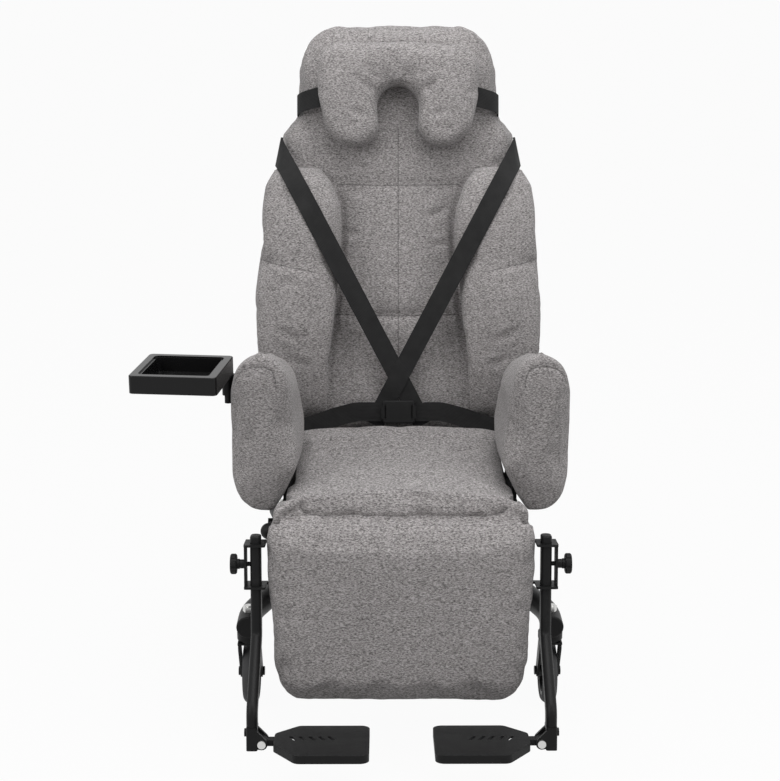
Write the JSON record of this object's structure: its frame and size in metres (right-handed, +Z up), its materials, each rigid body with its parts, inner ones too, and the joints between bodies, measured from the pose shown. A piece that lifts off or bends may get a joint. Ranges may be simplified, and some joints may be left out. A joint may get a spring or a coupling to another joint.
{
  "type": "care chair",
  "caption": "Padded wheeled care chair with reclining back, side bolsters, head cushion, harness, raising legrest, flip-up footplates, lift-off armrests and a swivel side tray.",
  "frame": {"origin": "on the floor at the plane of symmetry, 274 mm behind the legrest hinge", "axes": "+Z up, -Y the way the sitter faces, +X to the sitter's left"},
  "size_m": [0.7951, 1.0765, 1.2509],
  "materials": {
    "fabric_grey": "matte",
    "webbing_black": "matte",
    "steel_black": "satin",
    "steel_zinc": "satin",
    "plastic_black": "satin",
    "wheel_grey": "matte",
    "plywood": "matte",
    "foam_black": "matte",
    "chrome": "polished",
    "tray_plastic": "gloss",
    "fabric_back": "matte"
  },
  "bodies": {
    "base": {"base_side_tubes": "steel_black", "base_cross_frames": "steel_black", "base_end_caps": "plastic_black", "seat_side_rails": "steel_black", "seat_cross_rails": "steel_black", "seat_board": "plywood", "seat_cushion": "fabric_grey", "hinge_pins": "steel_zinc", "armrest_sockets": "steel_black", "caster_stem_bolts": "steel_zinc"},
    "back": {"back_shell": "fabric_back", "back_cushion": "fabric_grey", "wing_left": "fabric_grey", "wing_right": "fabric_grey", "back_frame": "steel_black", "push_bar": "steel_black", "push_grip": "foam_black", "shoulder_strap_left": "webbing_black", "shoulder_strap_right": "webbing_black", "lap_belt_left": "webbing_black", "lap_belt_right": "webbing_black", "buckle_body": "plastic_black"},
    "headrest": {"headrest_cushion": "fabric_grey", "headrest_band": "webbing_black"},
    "release_lever": {"release_lever": "plastic_black"},
    "buckle_latch_left": {"buckle_latch_left": "plastic_black"},
    "buckle_latch_right": {"buckle_latch_right": "plastic_black"},
    "gas_cylinder": {"gas_cylinder": "steel_black"},
    "gas_rod": {"gas_rod": "chrome"},
    "legrest": {"legrest_board": "plywood", "legrest_hinge_straps": "steel_black", "legrest_pad": "fabric_grey", "footrest_bracket_left": "steel_black", "footrest_bracket_right": "steel_black"},
    "legrest_lever": {"legrest_lever": "plastic_black"},
    "tray": {"tray_arm": "steel_black", "tray_box": "tray_plastic"},
    "footrest_left": {"footrest_tube_left": "steel_black", "footplate_clevis_left": "steel_black"},
    "footplate_left": {"footplate_left": "plastic_black"},
    "clamp_knob_left": {"clamp_knob_left": "plastic_black"},
    "armrest_left": {"armrest_pad_left": "fabric_grey", "armrest_bars_left": "steel_black", "tray_bracket": "steel_black"},
    "footrest_right": {"footrest_tube_right": "steel_black", "footplate_clevis_right": "steel_black"},
    "footplate_right": {"footplate_right": "plastic_black"},
    "clamp_knob_right": {"clamp_knob_right": "plastic_black"},
    "armrest_right": {"armrest_pad_right": "fabric_grey", "armrest_bars_right": "steel_black"},
    "caster_front_left": {"caster_fork_front_left": "steel_black"},
    "wheel_front_left": {"caster_wheel_front_left": "wheel_grey"},
    "caster_front_right": {"caster_fork_front_right": "steel_black"},
    "wheel_front_right": {"caster_wheel_front_right": "wheel_grey"},
    "caster_rear_left": {"caster_fork_rear_left": "steel_black"},
    "wheel_rear_left": {"caster_wheel_rear_left": "wheel_grey"},
    "brake_rear_left": {"brake_pedal_rear_left": "plastic_black"},
    "caster_rear_right": {"caster_fork_rear_right": "steel_black"},
    "wheel_rear_right": {"caster_wheel_rear_right": "wheel_grey"},
    "brake_rear_right": {"brake_pedal_rear_right": "plastic_black"}
  },
  "joints": [
    {"name": "back_recline", "type": "hinge", "parent": "base", "child": "back", "pos_m": [0, 0.215, 0.425], "axis": [-1, 0, 0], "range_deg": [0, 35]},
    {"name": "gas_cylinder_swing", "type": "hinge", "parent": "base", "child": "gas_cylinder", "pos_m": [0, -0.14, 0.33916], "axis": [-1, 0, 0], "range_deg": [0, 0.6]},
    {"name": "gas_rod_stroke", "type": "slide", "parent": "gas_cylinder", "child": "gas_rod", "axis": [0, -1, 0], "range_m": [0, 0.0547]},
    {"name": "headrest_height", "type": "slide", "parent": "back", "child": "headrest", "axis": [0, 0.2723, 0.9622], "range_m": [0, 0.04]},
    {"name": "release_lever_squeeze", "type": "hinge", "parent": "back", "child": "release_lever", "pos_m": [0.102, 0.51421, 0.92232], "axis": [0, 0.9622, -0.2723], "range_deg": [0, 5], "stiffness_Nm_per_rad": 3},
    {"name": "buckle_latch_left_press", "type": "slide", "parent": "back", "child": "buckle_latch_left", "axis": [1, 0, 0], "range_m": [0, 0.0025], "stiffness_N_per_m": 800},
    {"name": "buckle_latch_right_press", "type": "slide", "parent": "back", "child": "buckle_latch_right", "axis": [-1, 0, 0], "range_m": [0, 0.0025], "stiffness_N_per_m": 800},
    {"name": "legrest_raise", "type": "hinge", "parent": "base", "child": "legrest", "pos_m": [0, -0.274, 0.414], "axis": [-1, 0, 0], "range_deg": [0, 70]},
    {"name": "legrest_lever_press", "type": "hinge", "parent": "base", "child": "legrest_lever", "pos_m": [-0.238, -0.15, 0.38], "axis": [1, 0, 0], "range_deg": [0, 15], "stiffness_Nm_per_rad": 2},
    {"name": "footrest_left_height", "type": "slide", "parent": "legrest", "child": "footrest_left", "axis": [0, 0.165, 0.9863], "range_m": [0, 0.07]},
    {"name": "footplate_left_flip", "type": "hinge", "parent": "footrest_left", "child": "footplate_left", "pos_m": [-0.238, -0.45373, 0.09732], "axis": [0, -0.9863, 0.165], "range_deg": [0, 90]},
    {"name": "clamp_knob_left_turn", "type": "hinge", "parent": "legrest", "child": "clamp_knob_left", "pos_m": [-0.275, -0.30124, 0.36026], "axis": [1, 0, 0], "range_deg": [-180, 180]},
    {"name": "armrest_left_lift", "type": "slide", "parent": "base", "child": "armrest_left", "axis": [0, 0, 1], "range_m": [0, 0.06]},
    {"name": "footrest_right_height", "type": "slide", "parent": "legrest", "child": "footrest_right", "axis": [0, 0.165, 0.9863], "range_m": [0, 0.07]},
    {"name": "footplate_right_flip", "type": "hinge", "parent": "footrest_right", "child": "footplate_right", "pos_m": [0.238, -0.45373, 0.09732], "axis": [0, 0.9863, -0.165], "range_deg": [0, 90]},
    {"name": "clamp_knob_right_turn", "type": "hinge", "parent": "legrest", "child": "clamp_knob_right", "pos_m": [0.275, -0.30124, 0.36026], "axis": [1, 0, 0], "range_deg": [-180, 180]},
    {"name": "armrest_right_lift", "type": "slide", "parent": "base", "child": "armrest_right", "axis": [0, 0, 1], "range_m": [0, 0.06]},
    {"name": "tray_swing", "type": "hinge", "parent": "armrest_left", "child": "tray", "pos_m": [-0.324, -0.027, 0.637], "axis": [0, 0, -1], "range_deg": [0, 90]},
    {"name": "caster_front_left_swivel", "type": "hinge", "parent": "base", "child": "caster_front_left", "pos_m": [-0.285, -0.148, 0.145], "axis": [0, 0, 1], "continuous": true},
    {"name": "wheel_front_left_roll", "type": "hinge", "parent": "caster_front_left", "child": "wheel_front_left", "pos_m": [-0.285, -0.118, 0.0625], "axis": [1, 0, 0], "continuous": true},
    {"name": "caster_front_right_swivel", "type": "hinge", "parent": "base", "child": "caster_front_right", "pos_m": [0.285, -0.148, 0.145], "axis": [0, 0, 1], "continuous": true},
    {"name": "wheel_front_right_roll", "type": "hinge", "parent": "caster_front_right", "child": "wheel_front_right", "pos_m": [0.285, -0.118, 0.0625], "axis": [1, 0, 0], "continuous": true},
    {"name": "caster_rear_left_swivel", "type": "hinge", "parent": "base", "child": "caster_rear_left", "pos_m": [-0.262, 0.425, 0.145], "axis": [0, 0, 1], "continuous": true},
    {"name": "wheel_rear_left_roll", "type": "hinge", "parent": "caster_rear_left", "child": "wheel_rear_left", "pos_m": [-0.262, 0.455, 0.0625], "axis": [1, 0, 0], "continuous": true},
    {"name": "brake_rear_left_press", "type": "hinge", "parent": "caster_rear_left", "child": "brake_rear_left", "pos_m": [-0.262, 0.457, 0.1495], "axis": [-1, 0, 0], "range_deg": [0, 6]},
    {"name": "caster_rear_right_swivel", "type": "hinge", "parent": "base", "child": "caster_rear_right", "pos_m": [0.262, 0.425, 0.145], "axis": [0, 0, 1], "continuous": true},
    {"name": "wheel_rear_right_roll", "type": "hinge", "parent": "caster_rear_right", "child": "wheel_rear_right", "pos_m": [0.262, 0.455, 0.0625], "axis": [1, 0, 0], "continuous": true},
    {"name": "brake_rear_right_press", "type": "hinge", "parent": "caster_rear_right", "child": "brake_rear_right", "pos_m": [0.262, 0.457, 0.1495], "axis": [-1, 0, 0], "range_deg": [0, 6]}
  ],
  "couplings": [
    {"joint": "gas_rod_stroke", "follows": "back_recline", "m_per_rad": 0.08861},
    {"joint": "gas_cylinder_swing", "follows": "back_recline", "ratio": 0.01224}
  ]
}
